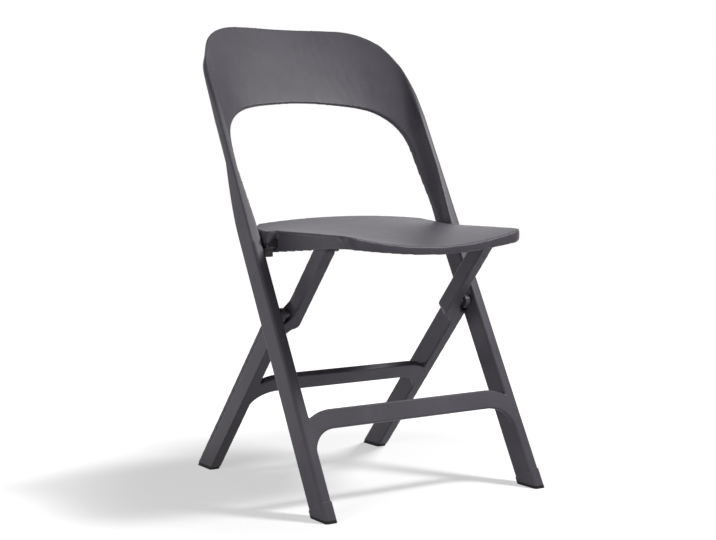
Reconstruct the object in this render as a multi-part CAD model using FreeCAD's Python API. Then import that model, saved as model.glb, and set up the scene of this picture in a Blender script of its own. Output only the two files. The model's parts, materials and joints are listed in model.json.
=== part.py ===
import FreeCAD, Part
import math
import os

V = FreeCAD.Vector

# Whole chair, millimetres, +Z up, front towards -Y
half_width = 218.5
back_lean = 28.28
rear_lean = 43.2
foot_spread = 467.0

# Clearances
running_fit = 0.05
side_gap = 0.3
glue_fit = 0.02

# Oversize of cutting blocks
spare = 20.0
far = 1000.0

# Back frame: legs, uprights and back panel
leg_width = 20.0
leg_depth = 45.0
leg_round = 4.0
back_top = 966.0
strip_width = 10.0
strip_depth = 15.0
taper_low = 475.0
taper_lead = 1.0
taper_high = 669.0
wedge_gap = 4.4
wedge_high = 640.0
wall_depth = 28.0
wall_draft = 1.5
panel_lip_low = 8.0
panel_lip_high = 12.0
strip_depth_high = 18.0
panel_foot_gap = 2.4
panel_middle = 59.0
panel_thickness = 6.5
panel_bow_low = 2.4
panel_bow_high = 2.0
panel_square_low = 0.5
panel_square_high = 1.0
bow_start = 740.0
roll_start = 730.0
roll_end = 900.0
roll_depth = 16.0
top_corner_start = 765.0
top_corner_inset = 15.5
top_corner_s = 881.0
top_bend_inset = 28.5
top_bend_s = 914.0
top_shoulder_inset = 64.0
top_shoulder_s = 945.5
top_crown_inset = 120.5
top_crown_s = 961.0
corner_draft = 0.25
arch_top = 804.5
arch_crown_inset = 125.5
arch_crown_s = 798.5
arch_shoulder_inset = 51.5
arch_shoulder_s = 775.0
arch_corner_inset = 20.0
arch_corner_s = 740.0
arch_side_inset = 6.5
arch_side_s = 660.0
arch_foot_inset = 1.5
arch_foot_s = 565.0

# Front stretcher, between the front legs
front_bar_top = 187.0
front_bar_height = 33.0
front_bar_thick = 7.0
front_bar_inset = 0.5

# Rear leg frame
rear_width = 20.0
rear_depth = 42.0
rear_gap = 4.0
arm_shift = 24.0
arm_depth = 30.0
arm_step = 389.0
arm_step_round = 11.0
arm_step_fall = 15.0
swing_low = 400.0
swing_high = 444.0
rear_bar_top = 257.0
rear_bar_height = 36.0
rear_bar_thick = 12.0
groove_from_front = 32.0
groove_width = 2.5
groove_deep = 1.4
groove_low = 40.0
groove_high = 380.0

# Ends of both stretchers, where they sweep down into the legs
sweep_run = 43.0
sweep_top_drop = 13.5
sweep_low_drop = 35.0

# Leg pivot, measured in from the front faces of both frames
pivot_in_back = 21.0
pivot_in_rear = 12.0
pivot_pin_radius = 5.0
pivot_pin_seat = 13.0
pivot_bush_wall = 2.0
pivot_bush_length = 40.0
pivot_washer_radius = 12.0
pivot_collar = 9.0
pivot_pin_tip_gap = 1.0

# Seat
ear_width = 17.5
seat_front = -10.0
seat_front_corner = -3.0
seat_rear = 300.0
seat_round = 26.0
seat_rear_round = 12.0
seat_sheet = 4.5
seat_over = 6.0
rim_high = 451.0
rim_front_rise = 2.0
rim_front_run = 70.0
rim_rear_rise = 9.0
mid_front_drop = 25.0
mid_rear_rise = 19.0
lip_deep = 14.0
lip_corner_deep = 20.0
lip_thick = 7.0
lip_run = 19.0
lip_fade = 34.0
apron_inset = 3.5
apron_thick = 3.0
apron_rear_deep = 39.5
apron_front_deep = 24.0
apron_front = 24.0
apron_rear = 262.0
ear_front = 222.0
ear_rear = 290.0
ear_root = 10.0
ear_fall = 18.0
ear_deep = 23.0

# Seat hinge
hinge_drop = 39.0
hinge_in_back = 22.0
hinge_pin_radius = 4.0
hinge_pin_seat = 13.0
hinge_gap = 3.0
hinge_washer_radius = 11.0
block_setback = 2.0
block_deep = 45.0
block_step = 8.0
block_tread = 8.5
block_heel_run = 24.0
block_heel_rise = 14.0
screw_radius = 2.0
screw_head_radius = 3.5
screw_head_high = 3.0
screw_bite = 12.0

# Slide at the top of each rear arm
slide_drop = 25.0
arm_tip = 12.0
arm_tip_run = 14.0
shoe_radius = 6.0
shoe_width = 12.0
slide_pin_radius = 3.0
rail_side = 2.0
rail_stop = 6.0
rail_back = 188.0
slide_pin_cover = 4.0

# Feet
sole = 5.0
boot_high = 36.0
boot_wall = 1.3
plug_radius = 6.0
plug_length = 16.0

lean = math.radians(back_lean)
kick = math.radians(rear_lean)
rear_reach = foot_spread + rear_depth / math.cos(kick)
middle = (rear_reach + seat_front) / 2.0

leg_in = half_width - leg_width
rear_out = leg_in - rear_gap
rear_in = rear_out - rear_width
arm_out = rear_out - arm_shift
arm_in = arm_out - rear_width


def back_place(shape):
    """Stand a shape drawn as (across, depth, along) on the leaning back frame."""
    out = shape.copy()
    out.rotate(V(0, 0, 0), V(1, 0, 0), -back_lean)
    return out


def rear_place(shape):
    """Stand a shape drawn as (across, depth, along) on the rear leg frame."""
    out = shape.copy()
    out.rotate(V(0, 0, 0), V(1, 0, 0), rear_lean)
    out.translate(V(0, foot_spread, 0))
    return out


def back_point(depth, along):
    y = along * math.sin(lean) + depth * math.cos(lean)
    z = along * math.cos(lean) - depth * math.sin(lean)
    return y, z


def rear_point(depth, along):
    y = foot_spread + depth * math.cos(kick) - along * math.sin(kick)
    z = depth * math.sin(kick) + along * math.cos(kick)
    return y, z


# Levels and widths of the seat
seat_half = leg_in - hinge_gap - ear_width
ear_out = leg_in - hinge_gap
apron_out = seat_half - apron_inset
apron_in = apron_out - apron_thick
ear_low = rim_high - ear_deep
block_low = rim_high - block_deep
hinge_high = rim_high - hinge_drop
slide_high = rim_high - slide_drop

# Where the two leg frames cross, and the other two axes
cross_a = pivot_in_back
cross_b = pivot_in_rear + foot_spread * math.cos(kick)
cross_det = math.sin(kick + lean)
pivot_y = (cross_a * math.sin(kick) + cross_b * math.sin(lean)) / cross_det
pivot_z = (cross_b * math.cos(lean) - cross_a * math.cos(kick)) / cross_det
hinge_along = (hinge_high + hinge_in_back * math.sin(lean)) / math.cos(lean)
hinge_y, hinge_z = back_point(hinge_in_back, hinge_along)
washer_top = hinge_along + hinge_washer_radius
panel_low = washer_top + panel_foot_gap
wedge_low = washer_top + wedge_gap
slide_along = (slide_high - arm_depth / 2.0 * math.sin(kick)) / math.cos(kick)
slide_y, slide_z = rear_point(arm_depth / 2.0, slide_along)


def poly_face(points):
    return Part.Face(Part.makePolygon(points + [points[0]]))


def arc(a, b, c):
    return Part.Arc(a, b, c).toShape()


def line(a, b):
    return Part.LineSegment(a, b).toShape()


def curve(points):
    spline = Part.BSplineCurve()
    spline.interpolate(points)
    return spline.toShape()


def face_of(edges):
    return Part.Face(Part.Wire(Part.__sortEdges__(edges)))


def round_rect(x0, x1, y0, y1, z, r):
    """Flat rounded rectangle in the plane at height z."""
    k = r * (1.0 - math.sqrt(0.5))
    edges = [
        line(V(x0 + r, y0, z), V(x1 - r, y0, z)),
        arc(V(x1 - r, y0, z), V(x1 - k, y0 + k, z), V(x1, y0 + r, z)),
        line(V(x1, y0 + r, z), V(x1, y1 - r, z)),
        arc(V(x1, y1 - r, z), V(x1 - k, y1 - k, z), V(x1 - r, y1, z)),
        line(V(x1 - r, y1, z), V(x0 + r, y1, z)),
        arc(V(x0 + r, y1, z), V(x0 + k, y1 - k, z), V(x0, y1 - r, z)),
        line(V(x0, y1 - r, z), V(x0, y0 + r, z)),
        arc(V(x0, y0 + r, z), V(x0 + k, y0 + k, z), V(x0 + r, y0, z)),
    ]
    return Part.Face(Part.Wire(edges))


def rod(x0, x1, y, z, r):
    """Round bar along X."""
    return Part.makeCylinder(r, x1 - x0, V(x0, y, z), V(1, 0, 0))


def mirror_x(shape):
    return shape.mirror(V(0, 0, 0), V(1, 0, 0))


def both_sides(shape):
    return [shape, mirror_x(shape)]


def solid_of(shape):
    """The largest solid of a boolean result, its split faces joined where the kernel can join them."""
    try:
        shape = shape.removeSplitter()
    except Part.OCCError:
        pass
    return max(shape.Solids, key=lambda s: s.Volume)


def above_floor(shape, height):
    """Cut away all of a shape below a level plane."""
    big = Part.makeBox(2.0 * far, 2.0 * far, far, V(-far, -far, height - far))
    return shape.cut(big)


# Stretcher outline, drawn across and along, then given its thickness
def stretcher(reach, top, height, front, thick):
    run = sweep_run
    top_r = (run ** 2 + sweep_top_drop ** 2) / (2.0 * sweep_top_drop)
    low_r = (run ** 2 + sweep_low_drop ** 2) / (2.0 * sweep_low_drop)
    low = top - height
    flat = reach - run

    def on_arc(level, r):
        half = run / 2.0
        return level - (r - math.sqrt(r * r - half * half))

    def p(x, s):
        return V(x, front, s)

    edges = [line(p(-flat, top), p(flat, top))]
    edges.append(line(p(-flat, low), p(flat, low)))
    for side in (1, -1):
        top_mid = p(side * (flat + run / 2.0), on_arc(top, top_r))
        low_mid = p(side * (flat + run / 2.0), on_arc(low, low_r))
        top_end = p(side * reach, top - sweep_top_drop)
        low_end = p(side * reach, low - sweep_low_drop)
        edges.append(arc(p(side * flat, top), top_mid, top_end))
        edges.append(arc(p(side * flat, low), low_mid, low_end))
        edges.append(line(top_end, low_end))
    return face_of(edges).extrude(V(0, thick, 0))


def raised(face, from_along, to_along):
    """Carry a cross-section along the back frame."""
    start = face.copy()
    start.translate(V(0, 0, from_along))
    return start.extrude(V(0, 0, to_along - from_along))


# Cross-section of the back
def back_section(bow, square, lip, deep):
    """Front strips with the hollow panel between them, bowed more squarely or more gently."""
    strip_in = half_width - strip_width
    wall_foot = strip_in - wall_draft
    shares = (0.0, 0.3, 0.55, 0.75, 0.88, 0.95, 0.985, 1.0)

    def hollow(reach, edge, middle):
        half = [(reach * t, edge + (middle - edge) * (1.0 - t ** bow) ** square) for t in shares]
        left = [V(-x, n, 0) for x, n in half[:0:-1]]
        return left + [V(x, n, 0) for x, n in half]

    edges = [curve(hollow(wall_foot, lip, panel_middle)),
             curve(hollow(half_width, deep, panel_middle + panel_thickness))]
    for side in (1, -1):
        outer = V(side * half_width, 0, 0)
        inner = V(side * strip_in, 0, 0)
        edges.append(line(V(side * half_width, deep, 0), outer))
        edges.append(line(outer, inner))
        edges.append(line(inner, V(side * wall_foot, lip, 0)))
    return face_of(edges)


# Outline of the back seen from the front, its top corners drawing in towards the rear
def outline_wire(depth):
    pull = corner_draft * max(0.0, depth - roll_depth)
    wide = half_width + 1.0

    def pts(side):
        return [V(side * wide, depth, top_corner_start),
                V(side * (half_width - top_corner_inset - pull), depth, top_corner_s),
                V(side * (half_width - top_bend_inset - pull), depth, top_bend_s),
                V(side * (half_width - top_shoulder_inset - pull / 2.0), depth, top_shoulder_s),
                V(side * (half_width - top_crown_inset), depth, top_crown_s)]

    points = pts(1) + [V(0, depth, back_top)] + pts(-1)[::-1]
    top = Part.BSplineCurve()
    top.interpolate(Points=points, InitialTangent=V(0, 0, 1), FinalTangent=V(0, 0, -1))
    right = V(wide, depth, -leg_depth)
    left = V(-wide, depth, -leg_depth)
    return Part.Wire([top.toShape(), line(points[-1], left), line(left, right), line(right, points[0])])


def back_outline():
    rear = panel_middle + panel_thickness + 1.0
    front_part = Part.makeLoft([outline_wire(-1.0), outline_wire(roll_depth)], True, True)
    rear_part = Part.makeLoft([outline_wire(roll_depth), outline_wire(rear)], True, True)
    return front_part.fuse(rear_part)


def front_roll():
    """Waste in front of the strips where they roll back to meet the panel near the top."""
    x = -half_width - spare
    rise = roll_end - roll_start
    r = (rise ** 2 + roll_depth ** 2) / (2.0 * roll_depth)
    half = rise / 2.0
    mid = r - math.sqrt(r * r - half * half)
    top = back_top + spare
    edges = [
        arc(V(x, 0, roll_start), V(x, mid, roll_start + half), V(x, roll_depth, roll_end)),
        line(V(x, roll_depth, roll_end), V(x, roll_depth, top)),
        line(V(x, roll_depth, top), V(x, -spare, top)),
        line(V(x, -spare, top), V(x, -spare, roll_start)),
        line(V(x, -spare, roll_start), V(x, 0, roll_start)),
    ]
    return face_of(edges).extrude(V(-2.0 * x, 0, 0))


def back_opening():
    def pts(side):
        return [V(side * leg_in, -far, panel_low),
                V(side * (leg_in - arch_foot_inset), -far, arch_foot_s),
                V(side * (leg_in - arch_side_inset), -far, arch_side_s),
                V(side * (leg_in - arch_corner_inset), -far, arch_corner_s),
                V(side * (leg_in - arch_shoulder_inset), -far, arch_shoulder_s),
                V(side * (leg_in - arch_crown_inset), -far, arch_crown_s)]

    arch = pts(1) + [V(0, -far, arch_top)] + pts(-1)[::-1]
    low = panel_low - spare
    edges = [curve(arch)]
    for side in (1, -1):
        edges.append(line(V(side * leg_in, -far, panel_low), V(side * leg_in, -far, low)))
    edges.append(line(V(leg_in, -far, low), V(-leg_in, -far, low)))
    return face_of(edges).extrude(V(0, 2.0 * far, 0))


# One leg and its upright, with the rear edge and inner face tapering away above the seat
def back_leg():
    section = round_rect(leg_in, half_width, 0, leg_depth, 0, leg_round)
    end = taper_high + spare
    leg = raised(section, -leg_depth, end)
    rise = taper_high - taper_low
    start = leg_depth + taper_lead
    drop = start - strip_depth
    r = (rise ** 2 + drop ** 2) / (2.0 * drop)
    half = rise / 2.0
    mid = start - (r - math.sqrt(r * r - half * half))
    x = leg_in - spare
    back = leg_depth + spare
    over = end + spare
    edges = [
        arc(V(x, start, taper_low), V(x, mid, taper_low + half), V(x, strip_depth, taper_high)),
        line(V(x, strip_depth, taper_high), V(x, strip_depth, over)),
        line(V(x, strip_depth, over), V(x, back, over)),
        line(V(x, back, over), V(x, back, taper_low)),
        line(V(x, back, taper_low), V(x, start, taper_low)),
    ]
    leg = leg.cut(face_of(edges).extrude(V(leg_width + 2.0 * spare, 0, 0)))
    strip_in = half_width - strip_width
    wedge = poly_face([V(x, -spare, wedge_low), V(leg_in, -spare, wedge_low),
                       V(strip_in, -spare, wedge_high), V(strip_in, -spare, over),
                       V(x, -spare, over)])
    return leg.cut(wedge.extrude(V(0, spare + wall_depth, 0)))


def make_back_frame():
    top = back_top + spare
    low_shape = (panel_bow_low, panel_square_low, panel_lip_low, strip_depth)
    high_shape = (panel_bow_high, panel_square_high, panel_lip_high, strip_depth_high)
    low_section = back_section(*low_shape)
    body = raised(low_section, panel_low, bow_start)
    rims = []
    for shape, along in ((low_shape, bow_start), (high_shape, top)):
        rim = back_section(*shape).OuterWire
        rim.translate(V(0, 0, along))
        rims.append(rim)
    body = body.fuse(Part.makeLoft(rims, True, True))
    for leg in both_sides(back_leg()):
        body = body.fuse(leg)
    body = body.common(back_outline()).cut(back_opening()).cut(front_roll())
    reach = leg_in + 1.0
    body = body.fuse(stretcher(reach, front_bar_top, front_bar_height, front_bar_inset, front_bar_thick))
    body = above_floor(back_place(body), sole)
    for side in (1, -1):
        seat_depth = pivot_pin_seat + running_fit
        body = body.cut(side_hole(side, leg_in, leg_in + seat_depth, pivot_y, pivot_z, pivot_pin_radius))
        seat_depth = hinge_pin_seat + running_fit
        body = body.cut(side_hole(side, leg_in, leg_in + seat_depth, hinge_y, hinge_z, hinge_pin_radius))
    return solid_of(body)


def side_hole(side, x0, x1, y, z, r):
    """Pin hole along X on one side, a running fit on the pin."""
    hole = rod(x0 - 1.0, x1, y, z, r + running_fit)
    return hole if side > 0 else mirror_x(hole)


# One rear leg with its arm, drawn across and along: a hollow bend outside, a rounded step inside
def rear_leg():
    low = -2.0 * rear_depth
    tip = slide_along - arm_tip_run
    span = swing_high - swing_low
    shift = rear_out - arm_out

    bend = []
    for i in range(5):
        a = math.radians(22.5 * i)
        bend.append(V(rear_out - shift * math.sin(a), 0, swing_high - span * math.cos(a)))
    outer = Part.BSplineCurve()
    outer.interpolate(Points=bend, InitialTangent=V(-1, 0, 0), FinalTangent=V(0, 0, 1))
    end = tip + 2.0 * spare
    step_r = arm_step_round
    k = step_r * (1.0 - math.sqrt(0.5))
    edges = [
        line(V(rear_in, 0, low), V(rear_out, 0, low)),
        line(V(rear_out, 0, low), V(rear_out, 0, swing_low)),
        outer.toShape(),
        line(V(arm_out, 0, swing_high), V(arm_out, 0, end)),
        line(V(arm_out, 0, end), V(arm_in, 0, end)),
        line(V(arm_in, 0, end), V(arm_in, 0, arm_step + step_r)),
        arc(V(arm_in, 0, arm_step + step_r), V(arm_in + k, 0, arm_step + k), V(arm_in + step_r, 0, arm_step)),
        line(V(arm_in + step_r, 0, arm_step), V(rear_in, 0, arm_step - arm_step_fall)),
        line(V(rear_in, 0, arm_step - arm_step_fall), V(rear_in, 0, low)),
    ]
    leg = face_of(edges).extrude(V(0, rear_depth, 0))
    return leg.cut(rear_trim(tip)).cut(rear_groove())


def rear_trim(tip):
    """Waste behind the slimmer arm and round its tip."""
    x = arm_in - spare
    back = rear_depth + spare
    top = tip + 4.0 * spare
    edges = [
        line(V(x, back, arm_step), V(x, rear_depth, arm_step)),
        line(V(x, rear_depth, arm_step), V(x, arm_depth, arm_step)),
        line(V(x, arm_depth, arm_step), V(x, arm_depth, tip)),
        arc(V(x, arm_depth, tip), V(x, arm_depth / 2.0, tip + arm_tip_run + arm_tip), V(x, 0, tip)),
        line(V(x, 0, tip), V(x, -spare, tip)),
        line(V(x, -spare, tip), V(x, -spare, top)),
        line(V(x, -spare, top), V(x, back, top)),
        line(V(x, back, top), V(x, back, arm_step)),
    ]
    return face_of(edges).extrude(V(rear_out - x + spare, 0, 0))


def rear_groove():
    """Shallow line along the outer face of the rear leg."""
    return Part.makeBox(groove_deep + 1.0, groove_width, groove_high - groove_low,
                        V(rear_out - groove_deep, groove_from_front, groove_low))


def make_rear_frame():
    leg = rear_leg()
    body = leg.fuse(mirror_x(leg))
    reach = rear_in + 1.0
    body = body.fuse(stretcher(reach, rear_bar_top, rear_bar_height, 0, rear_bar_thick))
    body = above_floor(rear_place(body), sole)
    bush_r = pivot_pin_radius + running_fit + pivot_bush_wall
    for side in (1, -1):
        hole = rod(rear_out - pivot_bush_length, rear_out + 1.0, pivot_y, pivot_z, bush_r + glue_fit)
        pin = rod(arm_in - 1.0, arm_out - slide_pin_cover, slide_y, slide_z, slide_pin_radius + glue_fit)
        plug = foot_plug(side, glue_fit)
        for tool in (hole, pin):
            body = body.cut(tool if side > 0 else mirror_x(tool))
        body = body.cut(plug)
    return solid_of(body)


# Feet
def foot_plug(side, gap):
    """Round stem of a rear foot, along the leg."""
    middle_x = (rear_in + rear_out) / 2.0
    y, z = rear_point(rear_depth / 2.0, 0)
    along = (sole - z) / math.cos(kick)
    stem = Part.makeCylinder(plug_radius + gap, plug_length + gap + spare,
                             V(side * middle_x, rear_depth / 2.0, along - spare), V(0, 0, 1))
    return above_floor(rear_place(stem), sole)


def make_rear_foot(side):
    x0, x1 = rear_in, rear_out
    section = round_rect(x0, x1, 0, rear_depth, 0, leg_round)
    section.translate(V(0, 0, -2.0 * rear_depth))
    bar = above_floor(rear_place(section.extrude(V(0, 0, 4.0 * rear_depth))), 0.0)
    top = Part.makeBox(2.0 * far, 2.0 * far, far, V(-far, -far, sole))
    foot = bar.cut(top)
    if side < 0:
        foot = mirror_x(foot)
    return solid_of(foot.fuse(foot_plug(side, 0.0)))


def make_front_foot(side):
    outer = round_rect(leg_in - boot_wall, half_width + boot_wall, -boot_wall, leg_depth + boot_wall,
                       0, leg_round + boot_wall)
    inner = round_rect(leg_in - glue_fit, half_width + glue_fit, -glue_fit, leg_depth + glue_fit,
                       0, leg_round + glue_fit)
    low = -leg_depth
    outer.translate(V(0, 0, low))
    inner.translate(V(0, 0, low))
    top = boot_high - low
    boot = above_floor(back_place(outer.extrude(V(0, 0, top))), 0.0)
    core = above_floor(back_place(inner.extrude(V(0, 0, top + spare))), sole)
    boot = solid_of(boot.cut(core))
    return boot if side > 0 else mirror_x(boot)


# Seat heights: sides that lift a little at both ends, and a middle that rises to the rear
def rim_at(y):
    t = min(1.0, (y - seat_front) / rim_front_run)
    u = max(0.0, (y - ear_front) / (seat_rear - ear_front))
    return rim_high + rim_front_rise * (1.0 - t) ** 2 + rim_rear_rise * u * u


def mid_at(y):
    t = (y - seat_front) / (seat_rear - seat_front)
    return rim_high - mid_front_drop + (mid_front_drop + mid_rear_rise) * t


def seat_block(mid_thick, rim_thick):
    """Body under the seat surface, thickness given at the middle and at the rims."""
    wide = seat_half + seat_over
    pitch = (seat_rear - seat_front + 2.0 * seat_over) / 7.0
    stations = [seat_front - seat_over + i * pitch for i in range(8)]
    wires = []
    for y in stations:
        rim = rim_at(max(y, seat_front))
        mid = mid_at(y)
        low_rim = rim - rim_thick
        top = arc(V(-wide, y, rim), V(0, y, mid), V(wide, y, rim))
        low = arc(V(-wide, y, low_rim), V(0, y, mid - mid_thick), V(wide, y, low_rim))
        ends = [line(V(s * wide, y, rim), V(s * wide, y, low_rim)) for s in (1, -1)]
        wires.append(Part.Wire([top, ends[0], low, ends[1]]))
    return Part.makeLoft(wires, True, False)


def seat_plan(inset):
    """Upright block with the seat's outline seen from above, drawn in by an inset."""
    w = seat_half - inset
    r = seat_round - inset
    rr = seat_rear_round
    front = seat_front + inset
    corner = seat_front_corner + inset
    rear = seat_rear - inset
    k = r * (1.0 - math.sqrt(0.5))
    kr = rr * (1.0 - math.sqrt(0.5))
    z = -far
    edges = [arc(V(-w + r, corner, z), V(0, front, z), V(w - r, corner, z))]
    edges.append(line(V(w - rr, rear, z), V(-w + rr, rear, z)))
    for s in (1, -1):
        edges.append(arc(V(s * (w - r), corner, z), V(s * (w - k), corner + k, z), V(s * w, corner + r, z)))
        edges.append(line(V(s * w, corner + r, z), V(s * w, rear - rr, z)))
        edges.append(arc(V(s * w, rear - rr, z), V(s * (w - kr), rear - kr, z), V(s * (w - rr), rear, z)))
    return face_of(edges).extrude(V(0, 0, 2.0 * far))


def seat_apron():
    """Side wall under the seat, set in from the edge."""
    top = rim_high + spare
    face = poly_face([V(apron_in, apron_front, top), V(apron_in, apron_front, rim_high - apron_front_deep),
                      V(apron_in, apron_rear, rim_high - apron_rear_deep), V(apron_in, apron_rear, top)])
    return face.extrude(V(apron_thick, 0, 0))


def seat_rail():
    """Track under the seat for one slide shoe, with a stop at its front end."""
    x0 = arm_in - side_gap - shoe_width - rail_side
    low = slide_z + shoe_radius + side_gap
    stop = slide_y - shoe_radius - side_gap
    top = rim_high + spare
    face = poly_face([V(x0, stop - rail_stop, top), V(x0, stop - rail_stop, slide_z),
                      V(x0, stop, slide_z), V(x0, stop, low),
                      V(x0, rail_back, low), V(x0, rail_back, top)])
    return face.extrude(V(shoe_width + rail_side, 0, 0))


def ear_under():
    """All the room below the sloping underside of the right wing."""
    y = ear_front - spare
    face = poly_face([V(apron_in, y, rim_high - ear_root), V(ear_out, y, ear_low),
                      V(ear_out, y, 0), V(apron_in, y, 0)])
    return face.extrude(V(0, ear_rear - ear_front + 2.0 * spare, 0))


def seat_ear():
    """Wing at a rear corner that carries the sheet out and down to the upright."""
    count = 6
    edge = [ear_front + (ear_rear - ear_front) * i / count for i in range(count + 1)]
    top = [V(apron_in, y, rim_at(y)) for y in edge]
    low = [V(apron_in, ear_rear, ear_low), V(apron_in, ear_front, ear_low)]
    wing = poly_face(top + low).extrude(V(ear_out - apron_in, 0, 0))
    y = ear_front - spare
    start = V(seat_half, y, rim_high + rim_rear_rise)
    end = V(ear_out, y, rim_high - ear_fall)
    mid = V(seat_half + 0.72 * ear_width, y, rim_high + rim_rear_rise - 0.32 * (rim_rear_rise + ear_fall))
    over = V(ear_out + spare, y, start.z + spare)
    below = V(ear_out + spare, y, end.z)
    edges = [arc(start, mid, end), line(end, below), line(below, over),
             line(over, V(start.x, y, over.z)), line(V(start.x, y, over.z), start)]
    roll = face_of(edges).extrude(V(0, ear_rear - ear_front + 2.0 * spare, 0))
    return wing.cut(roll).cut(ear_under())


def front_room(rear):
    """Everything ahead of an upright plane across the seat."""
    return Part.makeBox(2.0 * far, far, 2.0 * far, V(-far, rear - far, -far))


def lip_zone():
    """Room that the front lip fills, its ends fading up into the sheet."""
    low = rim_high - lip_corner_deep
    rise = lip_corner_deep - seat_sheet / 2.0
    start = seat_front + lip_run
    end = start + lip_fade
    fade = []
    for i in range(5):
        a = math.radians(22.5 * i)
        fade.append(V(-far, end - lip_fade * math.cos(a), low + rise * math.sin(a)))
    front = seat_front - spare
    rest = [V(-far, end, far), V(-far, front, far), V(-far, front, 0), V(-far, start, 0)]
    edges = [curve(fade), line(fade[-1], rest[0]), line(rest[3], fade[0])]
    edges += [line(rest[i], rest[i + 1]) for i in range(3)]
    return face_of(edges).extrude(V(2.0 * far, 0, 0))


def make_seat():
    plan = seat_plan(0.0)
    sheet = seat_block(seat_sheet, seat_sheet).common(plan)
    deep = seat_block(lip_deep, lip_corner_deep).common(plan)
    lip = deep.cut(seat_plan(lip_thick)).common(lip_zone())
    deep_under = apron_rear_deep + spare
    under = seat_block(deep_under, deep_under)
    wall = seat_block(lip_deep - 1.0, apron_front_deep).common(seat_plan(apron_inset))
    wall = wall.cut(seat_plan(apron_inset + apron_thick)).common(front_room(apron_front + 1.0))
    body = sheet.fuse(lip).fuse(wall)
    for apron in both_sides(seat_apron()):
        body = body.fuse(apron.common(under))
    for rail in both_sides(seat_rail()):
        body = body.fuse(rail.common(under))
    for ear in both_sides(seat_ear()):
        body = body.fuse(ear)
    for side in (1, -1):
        for y, seat_z in screw_seats():
            hole = Part.makeCylinder(screw_radius + glue_fit, screw_bite, V(side * screw_x(), y, ear_low))
            body = body.cut(hole)
    return solid_of(body)


# Hinge block under each ear, with its stepped front
def block_face():
    x = apron_out
    rear = ear_rear
    s = block_step
    f = ear_front + block_setback
    w = block_tread
    low = block_low
    return poly_face([V(x, f, rim_high), V(x, rear, rim_high), V(x, rear, low + block_heel_rise),
                      V(x, rear - block_heel_run, low), V(x, f + 2.0 * w, low), V(x, f + 2.0 * w, low + s),
                      V(x, f + w, low + s), V(x, f + w, low + 2.0 * s), V(x, f, low + 2.0 * s)])


def screw_x():
    return (apron_out + ear_out) / 2.0


def screw_seats():
    """Where each screw's head sits: under the front step, and under the block's foot."""
    ahead = (ear_front + block_setback + block_tread / 2.0, block_low + 2.0 * block_step)
    behind = (ear_rear - block_heel_run - 1.5 * screw_head_radius, block_low)
    return [ahead, behind]


def make_hinge_block(side):
    block = block_face().extrude(V(ear_out - apron_out, 0, 0)).common(ear_under())
    block = block.cut(rod(apron_out - 1.0, ear_out + 1.0, hinge_y, hinge_z, hinge_pin_radius + running_fit))
    for y, seat_z in screw_seats():
        base = V(screw_x(), y, seat_z)
        head = Part.makeCylinder(screw_head_radius + glue_fit, screw_head_high, base)
        shank = Part.makeCylinder(screw_radius + glue_fit, far, base)
        block = block.cut(head).cut(shank)
    block = solid_of(block)
    return block if side > 0 else mirror_x(block)


def make_screws():
    screws = []
    for side in (1, -1):
        for y, seat_z in screw_seats():
            base = V(side * screw_x(), y, seat_z)
            length = ear_low + screw_bite - seat_z
            shank = Part.makeCylinder(screw_radius, length, base)
            head = Part.makeCylinder(screw_head_radius, screw_head_high, base)
            screws.append(shank.fuse(head).removeSplitter())
    return Part.makeCompound(screws)


# Pins, bushes, washers and slide shoes
def ring(x0, x1, y, z, r_out, r_in):
    return rod(x0, x1, y, z, r_out).cut(rod(x0 - 1.0, x1 + 1.0, y, z, r_in))


def make_pivot_pin():
    return rod(rear_out - pivot_bush_length + pivot_pin_tip_gap, leg_in + pivot_pin_seat, pivot_y, pivot_z,
               pivot_pin_radius)


def make_pivot_bush():
    bore = pivot_pin_radius + running_fit
    return ring(rear_out - pivot_bush_length, rear_out - pivot_collar, pivot_y, pivot_z,
                bore + pivot_bush_wall, bore)


def make_pivot_washer():
    return ring(rear_out - pivot_collar + side_gap, leg_in, pivot_y, pivot_z, pivot_washer_radius,
                pivot_pin_radius + running_fit)


def make_hinge_pin():
    return rod(apron_out, leg_in + hinge_pin_seat, hinge_y, hinge_z, hinge_pin_radius)


def make_hinge_washer():
    return ring(ear_out + side_gap, leg_in, hinge_y, hinge_z, hinge_washer_radius,
                hinge_pin_radius + running_fit)


def make_slide_pin():
    end = arm_out - slide_pin_cover - side_gap
    return rod(arm_in - side_gap - shoe_width, end, slide_y, slide_z, slide_pin_radius)


def make_shoe():
    return ring(arm_in - side_gap - shoe_width, arm_in - side_gap, slide_y, slide_z, shoe_radius,
                slide_pin_radius + glue_fit)


nodes = {
    "back_frame": make_back_frame(),
    "rear_leg_frame": make_rear_frame(),
    "seat": make_seat(),
    "hinge_screws": make_screws(),
}
right_left = (("right", 1), ("left", -1))
for name, side in right_left:
    nodes["front_foot_" + name] = make_front_foot(side)
    nodes["rear_foot_" + name] = make_rear_foot(side)
    nodes["hinge_block_" + name] = make_hinge_block(side)
    small = {
        "leg_pivot_pin_": make_pivot_pin(),
        "leg_pivot_bush_": make_pivot_bush(),
        "leg_pivot_washer_": make_pivot_washer(),
        "hinge_pin_": make_hinge_pin(),
        "hinge_washer_": make_hinge_washer(),
        "slide_pin_": make_slide_pin(),
        "slide_shoe_": make_shoe(),
    }
    for stem, shape in small.items():
        nodes[stem + name] = shape if side > 0 else mirror_x(shape)

os.makedirs("parts", exist_ok=True)
for name, shape in nodes.items():
    shape.translate(V(0, -middle, 0))
    shape.exportStep("parts/" + name + ".step")
    box = shape.BoundBox
    print(name, shape.isValid(), len(shape.Solids), round(shape.Volume / 1000.0, 1),
          [round(v, 1) for v in (box.XMin, box.XMax, box.YMin, box.YMax, box.ZMin, box.ZMax)])
print("leg pivot", round(pivot_y - middle, 3), round(pivot_z, 3))
print("seat hinge", round(hinge_y - middle, 3), round(hinge_z, 3))
print("slide", round(slide_y - middle, 3), round(slide_z, 3))
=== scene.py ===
import json
import math

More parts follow.
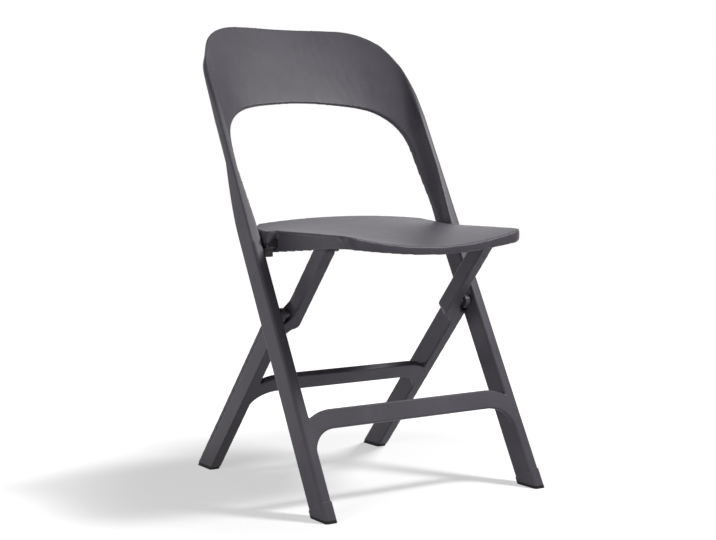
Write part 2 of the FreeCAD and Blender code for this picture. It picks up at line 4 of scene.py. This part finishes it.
import bpy
from bpy.props import FloatProperty, FloatVectorProperty, IntProperty, PointerProperty
from mathutils import Matrix, Vector


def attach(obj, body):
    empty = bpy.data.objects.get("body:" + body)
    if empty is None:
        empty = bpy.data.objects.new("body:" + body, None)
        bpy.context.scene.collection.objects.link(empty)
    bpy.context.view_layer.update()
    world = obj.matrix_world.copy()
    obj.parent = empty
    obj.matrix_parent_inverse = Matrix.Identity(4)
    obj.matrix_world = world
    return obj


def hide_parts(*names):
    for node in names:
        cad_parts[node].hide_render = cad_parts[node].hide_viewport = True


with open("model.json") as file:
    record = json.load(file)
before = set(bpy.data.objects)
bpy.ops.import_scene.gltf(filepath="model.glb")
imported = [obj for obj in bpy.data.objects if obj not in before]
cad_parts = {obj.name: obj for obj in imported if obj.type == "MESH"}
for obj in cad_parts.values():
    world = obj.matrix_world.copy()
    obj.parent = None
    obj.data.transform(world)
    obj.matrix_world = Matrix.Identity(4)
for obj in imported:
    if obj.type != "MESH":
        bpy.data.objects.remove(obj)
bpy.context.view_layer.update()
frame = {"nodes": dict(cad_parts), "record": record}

bl_info = {
    "name": "Folding Chair Looks",
    "version": (1, 0, 0),
    "blender": (4, 5, 0),
    "location": "View3D > Sidebar > Chair",
    "description": "Dresses a folding chair's frame in moulded plastic, rubber and steel, and sets its stage",
    "category": "Object",
}

NODES = frame["nodes"]
BODIES = frame["record"]["behaviour"]["bodies"]
BODY_OF = {node: body for body, nodes in BODIES.items() for node in nodes}
SLOT_OF = {part["node"]: part["material_slot"] for part in frame["record"]["subparts"]}
SIDES = ("left", "right")

# Mouldings: size of their faces as a share of the cell, and rounds of softening above the plain number
FRAME_CELL, FRAME_EXTRA = 0.6, 4
SEAT_CELL, SEAT_EXTRA = 0.9, -2
BLOCK_CELL = 0.4
FOOT_CELL = 0.3
SOFTEN_STEP = 0.5
MOST_FACES = 180000

# Where the fuller rounding of the seat's front and of the back's top corners lies, in metres
ROLL_GAIN = 1.6
CORNER_INNER = 0.12
CORNER_LOW = 0.655
CORNER_FADE = 0.06

# Turned and cut pieces: chamfers in metres, and angles between faces
PIN_CHAMFER = 0.0006
RING_CHAMFER = 0.0004
SCREW_CHAMFER = 0.0005
MERGE = 1e-6
FLAT_ANGLE = math.radians(1.0)
EDGE_ANGLE = math.radians(50.0)
SMOOTH_ANGLE = math.radians(35.0)

# Fixed values of the finishes
WHITE = (1.0, 1.0, 1.0, 1.0)
BLACK = (0.0, 0.0, 0.0, 1.0)
# Black of the bottom few millimetres of the feet
BOTTOM_BLACK = (0.012, 0.012, 0.013, 1.0)
NYLON_DARK = (0.012, 0.012, 0.012, 1.0)
NYLON_PALE = (0.035, 0.034, 0.036, 1.0)
STEEL_DARK = (0.42, 0.42, 0.44, 1.0)
STEEL_PALE = (0.60, 0.60, 0.61, 1.0)
PLASTIC_IOR = 1.45
PLASTIC_SHEEN = 0.22
GRAIN_STRENGTH = 0.22
GRAIN_DEPTH = 0.0004
GRAIN_ROUGHNESS = 0.12
# Heights in metres below which the feet turn black
BOTTOM_BAND_LOW = 0.0042
BOTTOM_BAND_HIGH = 0.0056


# Settings

class PlasticSettings(bpy.types.PropertyGroup):
    """Finish of the moulded plastic."""

    light: FloatVectorProperty(
        name="Light grey", description="Colour of the plastic where it is palest",
        subtype="COLOR", size=3, min=0.0, max=1.0, default=(0.101, 0.091, 0.112))
    dark: FloatVectorProperty(
        name="Dark grey", description="Colour of the plastic where it is deepest",
        subtype="COLOR", size=3, min=0.0, max=1.0, default=(0.086, 0.077, 0.095))
    roughness: FloatProperty(
        name="Roughness", description="How matte the moulded skin is",
        subtype="FACTOR", min=0.0, max=1.0, default=0.38)
    grain: FloatProperty(
        name="Grain", description="Distance between the grains of the moulded skin",
        unit="LENGTH", min=0.0002, max=0.01, default=0.0011)
    cell: FloatProperty(
        name="Cell", description="Size of the faces that a moulding is made of",
        unit="LENGTH", min=0.0008, max=0.01, default=0.0020)
    soften: IntProperty(
        name="Soften", description="How far the edges of a moulding are rounded over",
        min=0, max=40, default=6)
    roll: FloatProperty(
        name="Roll", description="How far back the fuller roll of the seat's front edge reaches",
        unit="LENGTH", min=0.0, max=0.2, default=0.045)
    roll_rounds: IntProperty(
        name="Roll rounds", description="How full the roll of the seat's front edge is",
        min=0, max=80, default=22)
    corner_rounds: IntProperty(
        name="Corner rounds", description="How full the top corners of the back are",
        min=0, max=200, default=100)


class StageSettings(bpy.types.PropertyGroup):
    """Floor, light and camera."""

    floor: FloatVectorProperty(
        name="Floor", description="Colour of the floor",
        subtype="COLOR", size=3, min=0.0, max=1.0, default=(0.86, 0.86, 0.87))
    key: FloatProperty(
        name="Key light", description="Power of the small high lamp on the right",
        unit="POWER", min=0.0, max=1000.0, default=29.0)
    fill: FloatProperty(
        name="Fill light", description="Power of the large lamp on the left",
        unit="POWER", min=0.0, max=1000.0, default=15.0)
    sky: FloatProperty(
        name="Sky", description="Strength of the even light from all round",
        min=0.0, max=5.0, default=0.04)
    lens: FloatProperty(
        name="Lens", description="Focal length of the camera in millimetres",
        min=10.0, max=300.0, default=68.71)


class ChairSettings(bpy.types.PropertyGroup):
    """All that a user would change on the chair."""

    plastic: PointerProperty(type=PlasticSettings, name="Plastic", description="Moulded plastic")
    stage: PointerProperty(type=StageSettings, name="Stage", description="Floor, light and camera")


def settings():
    return bpy.context.scene.chair


# Shader sums written as Python

class Value:
    """One output socket, which can be added, taken away and multiplied."""

    def __init__(self, finish, socket):
        self.finish = finish
        self.socket = socket

    def __add__(self, other):
        return self.finish.sum("ADD", self, other)

    def __radd__(self, other):
        return self.finish.sum("ADD", other, self)

    def __sub__(self, other):
        return self.finish.sum("SUBTRACT", self, other)

    def __rsub__(self, other):
        return self.finish.sum("SUBTRACT", other, self)

    def __mul__(self, other):
        return self.finish.sum("MULTIPLY", self, other)


class Finish:
    """A material under construction."""

    def __init__(self, name):
        self.material = bpy.data.materials.new(name)
        self.material.use_nodes = True
        self.tree = self.material.node_tree
        self.tree.nodes.clear()

    def node(self, kind, given=None, **sockets):
        """Add a node: its settings, then a value or a link for each socket, named with _ for spaces."""
        made = self.tree.nodes.new(kind)
        for key, value in (given or {}).items():
            setattr(made, key, value)
        for key, value in sockets.items():
            target = made.inputs[int(key[1:])] if key[0] == "_" else made.inputs[key.replace("_", " ")]
            if isinstance(value, Value):
                self.tree.links.new(value.socket, target)
            else:
                target.default_value = value
        return made

    def out(self, made, name=0):
        return Value(self, made.outputs[name])

    def sum(self, operation, a, b):
        return self.out(self.node("ShaderNodeMath", {"operation": operation}, _0=a, _1=b))

    def place(self):
        return self.out(self.node("ShaderNodeTexCoord"), "Object")

    def stretched(self, scale):
        """Object coordinates, multiplied along each axis."""
        return self.out(self.node("ShaderNodeMapping", Vector=self.place(), Scale=scale))

    def noise(self, where, scale, detail, roughness):
        made = self.node("ShaderNodeTexNoise", Vector=where, Scale=scale, Detail=detail, Roughness=roughness)
        return self.out(made, "Fac")

    def spread(self, value, low, high):
        """Stretch a band of a value to run from 0 to 1."""
        made = self.node("ShaderNodeMapRange", {"interpolation_type": "SMOOTHSTEP"}, Value=value)
        made.inputs["From Min"].default_value = low
        made.inputs["From Max"].default_value = high
        return self.out(made, "Result")

    def blend(self, share, a, b):
        """Mix two colours."""
        made = self.node("ShaderNodeMix", {"data_type": "RGBA"}, _0=share, _6=a, _7=b)
        return self.out(made, 2)

    def bump(self, height, strength, distance):
        made = self.node("ShaderNodeBump", Height=height, Strength=strength, Distance=distance)
        return self.out(made, "Normal")

    def surface(self, **sockets):
        shader = self.node("ShaderNodeBsdfPrincipled", **sockets)
        self.node("ShaderNodeOutputMaterial", Surface=self.out(shader, "BSDF"))
        return self.material


def rgba(colour):
    return (colour[0], colour[1], colour[2], 1.0)


# Finishes

def moulded_plastic():
    """Matte moulded plastic: faint cloudiness, a fine grain and a few polished rubs."""
    look = settings().plastic
    paint = Finish("moulded_plastic")
    where = paint.place()
    cloud = paint.noise(where, 14.0, 4.0, 0.6)
    grain = paint.noise(where, 1.0 / look.grain, 2.0, 0.6)
    flow = paint.noise(where, 46.0, 3.0, 0.55)
    rubs = paint.spread(paint.noise(paint.stretched((60.0, 60.0, 9.0)), 1.0, 5.0, 0.7), 0.62, 0.80)
    colour = paint.blend(paint.spread(cloud, 0.30, 0.70), rgba(look.dark), rgba(look.light))
    return paint.surface(
        Base_Color=colour,
        Roughness=look.roughness + (grain - 0.5) * GRAIN_ROUGHNESS + (flow - 0.5) * 0.06 - rubs * 0.05,
        Normal=paint.bump(grain * 0.8 + flow * 0.9, GRAIN_STRENGTH, GRAIN_DEPTH),
        IOR=PLASTIC_IOR,
        Specular_IOR_Level=PLASTIC_SHEEN,
    )


def foot_plastic():
    """The same grey above the floor, black and rougher along the bottom few millimetres."""
    look = settings().plastic
    paint = Finish("foot_plastic")
    where = paint.place()
    height = paint.out(paint.node("ShaderNodeSeparateXYZ", Vector=where), "Z")
    # Black along the bottom few millimetres of each foot, fading to grey just above them
    bottom_band = 1.0 - paint.spread(height, BOTTOM_BAND_LOW, BOTTOM_BAND_HIGH)
    grain = paint.noise(where, 1.0 / look.grain, 2.0, 0.6)
    cloud = paint.noise(where, 30.0, 3.0, 0.6)
    grey = paint.blend(cloud, rgba(look.dark), rgba(look.light))
    return paint.surface(
        Base_Color=paint.blend(bottom_band, grey, BOTTOM_BLACK),
        Roughness=look.roughness + bottom_band * 0.25 + (grain - 0.5) * GRAIN_ROUGHNESS,
        Normal=paint.bump(grain, GRAIN_STRENGTH, GRAIN_DEPTH),
        IOR=PLASTIC_IOR,
        Specular_IOR_Level=PLASTIC_SHEEN,
    )


def bearing_nylon():
    """Smooth black nylon, slightly polished by wear. On the hinge blocks this black also stands in for the
    shade in the recess under the seat's ears.
    """
    paint = Finish("bearing_nylon")
    where = paint.place()
    wear = paint.noise(where, 160.0, 4.0, 0.65)
    return paint.surface(
        Base_Color=paint.blend(wear, NYLON_DARK, NYLON_PALE),
        Roughness=0.30 + wear * 0.22,
        Normal=paint.bump(wear, 0.12, 0.0003),
    )


def turned_steel():
    """Plain steel with the fine rings that turning leaves along a pin."""
    paint = Finish("turned_steel")
    rings = paint.noise(paint.stretched((2600.0, 60.0, 60.0)), 1.0, 3.0, 0.6)
    stain = paint.noise(paint.place(), 70.0, 3.0, 0.6)
    return paint.surface(
        Base_Color=paint.blend(stain, STEEL_DARK, STEEL_PALE),
        Metallic=1.0,
        Roughness=0.26 + rings * 0.16 + stain * 0.06,
        Normal=paint.bump(rings, 0.10, 0.0002),
    )


FINISHES = {"frame": moulded_plastic, "foot": foot_plastic, "bearing": bearing_nylon, "steel": turned_steel}


def finish_of(slot):
    """The material of a slot, made once."""
    maker = FINISHES[slot]
    return bpy.data.materials.get(maker.__name__) or maker()


# Pieces

def let_go():
    bpy.ops.object.select_all(action="DESELECT")


def take(piece):
    let_go()
    piece.select_set(True)
    bpy.context.view_layer.objects.active = piece


def copy_of(node, name):
    """A copy of a fixed node, its loose triangles merged."""
    piece = NODES[node].copy()
    piece.data = NODES[node].data.copy()
    piece.name = name
    piece.data.name = name
    piece.parent = None
    for key in list(piece.keys()):
        del piece[key]
    bpy.context.scene.collection.objects.link(piece)
    take(piece)
    bpy.ops.object.mode_set(mode="EDIT")
    bpy.ops.mesh.select_all(action="SELECT")
    bpy.ops.mesh.remove_doubles(threshold=MERGE)
    bpy.ops.object.mode_set(mode="OBJECT")
    return piece


def apply_modifiers(piece):
    take(piece)
    for modifier in list(piece.modifiers):
        bpy.ops.object.modifier_apply(modifier=modifier.name)


def dress(piece, node):
    """Give a piece the finish of its node, and let it stand for that node."""
    piece.data.materials.clear()
    piece.data.materials.append(finish_of(SLOT_OF[node]))
    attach(piece, BODY_OF[node])
    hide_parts(node)


def soften_edges(piece, rounds, group=""):
    """Round a piece over, all of it or one group of its points."""
    smooth = piece.modifiers.new("soften", "SMOOTH")
    smooth.factor = SOFTEN_STEP
    smooth.iterations = rounds
    smooth.vertex_group = group
    apply_modifiers(piece)


def mould(node, cell, soften, weight=None, rounds=0):
    """Round over every edge and corner of a node, and one region more fully by its weight."""
    piece = copy_of(node, node + "_moulding")
    remesh = piece.modifiers.new("cells", "REMESH")
    remesh.mode = "VOXEL"
    remesh.voxel_size = cell
    remesh.use_smooth_shade = True
    apply_modifiers(piece)
    soften_edges(piece, soften)
    if weight:
        ease(piece, weight, rounds)
    thin_out(piece)
    bpy.ops.object.shade_smooth()
    dress(piece, node)


def thin_out(piece):
    """Merge faces where the surface is plain, to keep a piece light."""
    count = 2 * len(piece.data.polygons)
    if count > MOST_FACES:
        thin = piece.modifiers.new("thin_out", "DECIMATE")
        thin.ratio = MOST_FACES / count
        apply_modifiers(piece)


def ease(piece, weight, rounds):
    """Round one region of a piece more fully, by a weight worked out for each point."""
    group = piece.vertex_groups.new(name="region")
    for vertex in piece.data.vertices:
        share = weight(vertex.co)
        if share > 0.0:
            group.add([vertex.index], min(1.0, share), "REPLACE")
    soften_edges(piece, rounds, group.name)
    piece.vertex_groups.clear()


def machine(node, chamfer):
    """Break the sharp edges of a turned or cut piece."""
    piece = copy_of(node, node + "_part")
    bpy.ops.object.mode_set(mode="EDIT")
    bpy.ops.mesh.select_all(action="SELECT")
    bpy.ops.mesh.dissolve_limited(angle_limit=FLAT_ANGLE)
    bpy.ops.object.mode_set(mode="OBJECT")
    bevel = piece.modifiers.new("chamfer", "BEVEL")
    bevel.width = chamfer
    bevel.segments = 2
    bevel.limit_method = "ANGLE"
    bevel.angle_limit = EDGE_ANGLE
    apply_modifiers(piece)
    bpy.ops.object.shade_smooth_by_angle(angle=SMOOTH_ANGLE)
    dress(piece, node)


class CHAIR_OT_back(bpy.types.Operator):
    """Mould the back frame, with its legs, uprights and back panel"""

    bl_idname = "chair.back"
    bl_label = "Back Frame"

    def execute(self, context):
        look = settings().plastic
        mould("back_frame", look.cell * FRAME_CELL, look.soften + FRAME_EXTRA,
              self.at_corners, look.corner_rounds)
        return {"FINISHED"}

    def at_corners(self, co):
        """Weight of a point near the two top corners of the back."""
        return min((abs(co.x) - CORNER_INNER) / CORNER_FADE, (co.z - CORNER_LOW) / CORNER_FADE)


class CHAIR_OT_rear_legs(bpy.types.Operator):
    """Mould the rear leg frame"""

    bl_idname = "chair.rear_legs"
    bl_label = "Rear Leg Frame"

    def execute(self, context):
        look = settings().plastic
        mould("rear_leg_frame", look.cell * FRAME_CELL, look.soften + FRAME_EXTRA)
        return {"FINISHED"}


class CHAIR_OT_seat(bpy.types.Operator):
    """Mould the seat and the hinge blocks under it"""

    bl_idname = "chair.seat"
    bl_label = "Seat"

    def execute(self, context):
        look = settings().plastic
        front = min(vertex.co.y for vertex in NODES["seat"].data.vertices)
        mould("seat", look.cell * SEAT_CELL, look.soften + SEAT_EXTRA,
              lambda co: ROLL_GAIN * (1.0 - (co.y - front) / look.roll), look.roll_rounds)
        # The hinge blocks take the black of their slot's finish, which is also painted shade for the recess
        # under the seat's ears.
        for side in SIDES:
            mould("hinge_block_" + side, look.cell * BLOCK_CELL, look.soften)
        return {"FINISHED"}


class CHAIR_OT_feet(bpy.types.Operator):
    """Mould the boots and soles that the chair stands on"""

    bl_idname = "chair.feet"
    bl_label = "Feet"

    def execute(self, context):
        look = settings().plastic
        for side in SIDES:
            mould("front_foot_" + side, look.cell * FOOT_CELL, look.soften)
            mould("rear_foot_" + side, look.cell * FOOT_CELL, look.soften)
        return {"FINISHED"}


class CHAIR_OT_hardware(bpy.types.Operator):
    """Finish the pins, bushes, washers, shoes and screws"""

    bl_idname = "chair.hardware"
    bl_label = "Hardware"

    def execute(self, context):
        for side in SIDES:
            for stem in ("leg_pivot_pin_", "hinge_pin_", "slide_pin_"):
                machine(stem + side, PIN_CHAMFER)
            for stem in ("leg_pivot_bush_", "leg_pivot_washer_", "hinge_washer_", "slide_shoe_"):
                machine(stem + side, RING_CHAMFER)
        machine("hinge_screws", SCREW_CHAMFER)
        return {"FINISHED"}


# Stage

CAMERA_AT = Vector((-1.27474, -2.07021, 0.54521))
CAMERA_RIGHT = Vector((0.849986, -0.526607, -0.014452))
CAMERA_UP = Vector((0.048974, 0.051674, 0.997462))
CAMERA_SHIFT = -0.0011
SENSOR_WIDTH = 36.0
TARGET = Vector((0.0, 0.0, 0.42))
KEY_AT = (1.0, -0.9, 1.85)
FILL_AT = (-2.35, -1.0, 0.8)
KEY_SIZE = 0.4
FILL_SIZE = 1.2
FLOOR_SIZE = 30.0
FLOOR_GLOW = 0.53
FLOOR_NEAR = 0.36
FLOOR_FAR = 0.80


def lamp(name, at, size, power):
    """A square softbox that faces the chair."""
    light = bpy.data.lights.new(name, "AREA")
    light.shape = "SQUARE"
    light.size = size
    light.energy = power
    holder = bpy.data.objects.new(name, light)
    holder.location = at
    holder.rotation_euler = (TARGET - Vector(at)).to_track_quat("-Z", "Y").to_euler()
    bpy.context.scene.collection.objects.link(holder)


def pale_floor():
    """Pale floor that keeps the chair's shadow and goes to white round it."""
    paint = Finish("pale_floor")
    rays = paint.node("ShaderNodeLightPath")
    seen = paint.out(rays, "Is Camera Ray") + paint.out(rays, "Is Glossy Ray")
    seen = seen + paint.out(rays, "Is Transmission Ray")
    matte = paint.node("ShaderNodeBsdfDiffuse", Color=rgba(settings().stage.floor))
    away = paint.out(paint.node("ShaderNodeVectorMath", {"operation": "LENGTH"}, _0=paint.place()), "Value")
    white = FLOOR_GLOW + paint.spread(away, FLOOR_NEAR, FLOOR_FAR) * (1.0 - FLOOR_GLOW)
    pale = paint.blend(seen * white, BLACK, WHITE)
    glow = paint.node("ShaderNodeEmission", Color=pale)
    both = paint.node("ShaderNodeAddShader", _0=paint.out(matte), _1=paint.out(glow))
    paint.node("ShaderNodeOutputMaterial", Surface=paint.out(both))
    return paint.material


class CHAIR_OT_stage(bpy.types.Operator):
    """Lay the floor, hang the lamps and set the camera"""

    bl_idname = "chair.stage"
    bl_label = "Stage"

    def execute(self, context):
        look = settings().stage
        scene = context.scene
        scene.view_settings.view_transform = "Standard"
        let_go()
        bpy.ops.mesh.primitive_plane_add(size=FLOOR_SIZE, location=(0.0, 0.0, 0.0))
        floor = context.object
        floor.name = "floor"
        floor.data.materials.append(pale_floor())
        lamp("key", KEY_AT, KEY_SIZE, look.key)
        lamp("fill", FILL_AT, FILL_SIZE, look.fill)
        self.light_sky(scene, look.sky)
        self.set_camera(scene, look.lens)
        return {"FINISHED"}

    def light_sky(self, scene, strength):
        """Even light from all round, which the camera and reflections see as white."""
        world = bpy.data.worlds.new("sky")
        world.use_nodes = True
        tree = world.node_tree
        tree.nodes.clear()
        rays = tree.nodes.new("ShaderNodeLightPath")
        seen = tree.nodes.new("ShaderNodeMath")
        seen.operation = "ADD"
        seen.use_clamp = True
        even = tree.nodes.new("ShaderNodeBackground")
        even.inputs["Strength"].default_value = strength
        white = tree.nodes.new("ShaderNodeBackground")
        white.inputs["Color"].default_value = WHITE
        mix = tree.nodes.new("ShaderNodeMixShader")
        out = tree.nodes.new("ShaderNodeOutputWorld")
        tree.links.new(rays.outputs["Is Camera Ray"], seen.inputs[0])
        tree.links.new(rays.outputs["Is Glossy Ray"], seen.inputs[1])
        tree.links.new(seen.outputs[0], mix.inputs[0])
        tree.links.new(even.outputs[0], mix.inputs[1])
        tree.links.new(white.outputs[0], mix.inputs[2])
        tree.links.new(mix.outputs[0], out.inputs["Surface"])
        scene.world = world

    def set_camera(self, scene, lens):
        data = bpy.data.cameras.new("camera")
        data.lens = lens
        data.sensor_width = SENSOR_WIDTH
        data.sensor_fit = "HORIZONTAL"
        data.shift_y = CAMERA_SHIFT
        camera = bpy.data.objects.new("camera", data)
        back = CAMERA_RIGHT.cross(CAMERA_UP)
        turn = Matrix((CAMERA_RIGHT, CAMERA_UP, back)).transposed().to_4x4()
        camera.matrix_world = Matrix.Translation(CAMERA_AT) @ turn
        scene.collection.objects.link(camera)
        scene.camera = camera


class CHAIR_PT_panel(bpy.types.Panel):
    """Pieces and settings of the chair"""

    bl_idname = "CHAIR_PT_panel"
    bl_label = "Folding Chair"
    bl_space_type = "VIEW_3D"
    bl_region_type = "UI"
    bl_category = "Chair"

    def draw(self, context):
        chair = context.scene.chair
        for group in (chair.plastic, chair.stage):
            box = self.layout.box()
            for name in group.__annotations__:
                box.prop(group, name)
        for operator in OPERATORS:
            self.layout.operator(operator.bl_idname)


OPERATORS = (
    CHAIR_OT_back, CHAIR_OT_rear_legs, CHAIR_OT_seat,
    CHAIR_OT_feet, CHAIR_OT_hardware, CHAIR_OT_stage,
)
CLASSES = (PlasticSettings, StageSettings, ChairSettings) + OPERATORS + (CHAIR_PT_panel,)


def register():
    for cls in CLASSES:
        bpy.utils.register_class(cls)
    bpy.types.Scene.chair = PointerProperty(type=ChairSettings)


def unregister():
    del bpy.types.Scene.chair
    for cls in reversed(CLASSES):
        bpy.utils.unregister_class(cls)


def main():
    register()
    bpy.ops.chair.back()
    bpy.ops.chair.rear_legs()
    bpy.ops.chair.seat()
    bpy.ops.chair.feet()
    bpy.ops.chair.hardware()
    bpy.ops.chair.stage()


if __name__ == "__main__":
    main()
